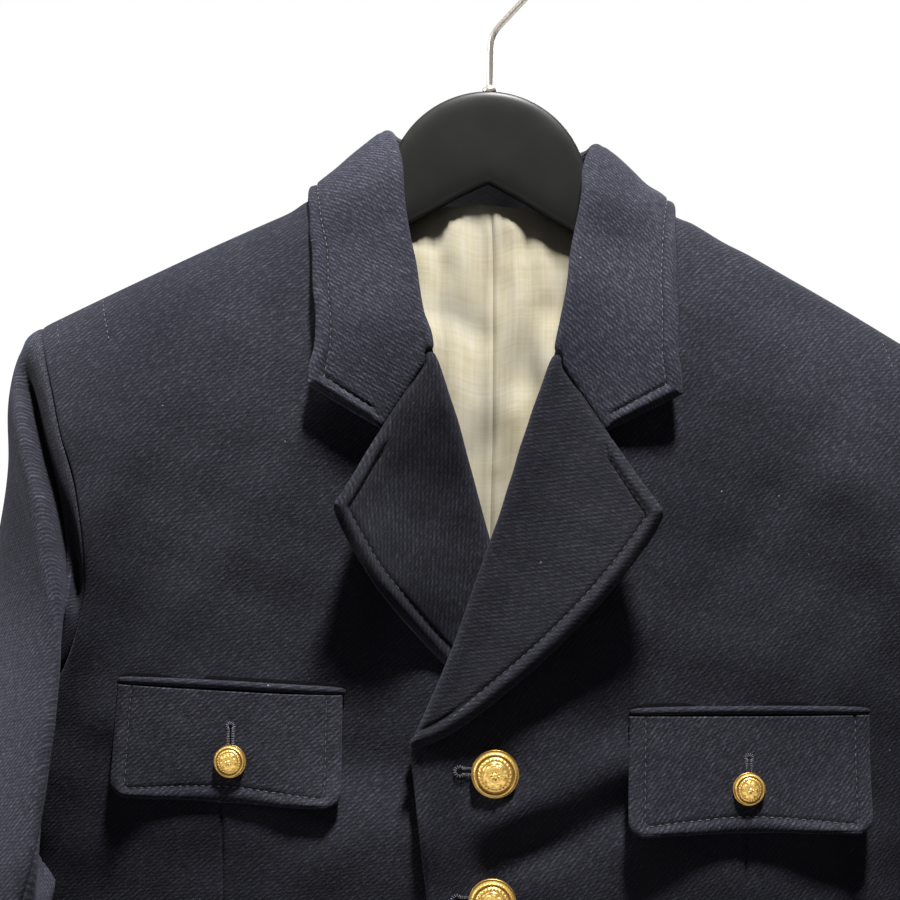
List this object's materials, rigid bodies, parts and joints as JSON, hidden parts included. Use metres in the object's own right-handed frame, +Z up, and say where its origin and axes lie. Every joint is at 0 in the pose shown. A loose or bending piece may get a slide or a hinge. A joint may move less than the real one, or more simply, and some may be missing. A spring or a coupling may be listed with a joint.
{
  "type": "tailored jacket on a hanger",
  "caption": "Single-breasted tailored wool jacket with notch lapels and flapped chest pockets, hung on a shaped hanger with a wire hook.",
  "frame": {"origin": "the underside of the top arc of the hanger's hook, where a rail carries it", "axes": "+Z up the hanging jacket, -Y towards the viewer of its front, +X towards the wearer's left side"},
  "size_m": [0.6312, 0.1343, 0.8328],
  "materials": {
    "navy_wool_twill": "heavy steep wool twill, matte",
    "navy_wool_facing": "the same wool twill on the lapels and the collar, matte",
    "cream_lining": "slubbed cream lining, slight sheen",
    "gilt_brass": "polished gilt, domed",
    "charcoal_plastic": "satin moulded plastic",
    "bright_steel": "nickel-plated wire"
  },
  "bodies": {
    "root": {"front_left": "navy_wool_twill", "front_right": "navy_wool_twill", "back_left": "navy_wool_twill", "back_right": "navy_wool_twill", "side_left": "navy_wool_twill", "side_right": "navy_wool_twill", "sleeve_top_left": "navy_wool_twill", "sleeve_top_right": "navy_wool_twill", "sleeve_under_left": "navy_wool_twill", "sleeve_under_right": "navy_wool_twill", "pocket_flap_left": "navy_wool_twill", "pocket_flap_right": "navy_wool_twill", "pocket_welt_left": "navy_wool_twill", "pocket_welt_right": "navy_wool_twill", "lapel_left": "navy_wool_facing", "lapel_right": "navy_wool_facing", "collar_fall": "navy_wool_facing", "collar_stand": "navy_wool_facing", "lining_left": "cream_lining", "lining_right": "cream_lining", "front_button_1": "gilt_brass", "front_button_2": "gilt_brass", "front_button_3": "gilt_brass", "front_button_4": "gilt_brass", "front_button_5": "gilt_brass", "pocket_button_left": "gilt_brass", "pocket_button_right": "gilt_brass", "hanger_body": "charcoal_plastic", "hanger_hook": "bright_steel"}
  },
  "joints": []
}
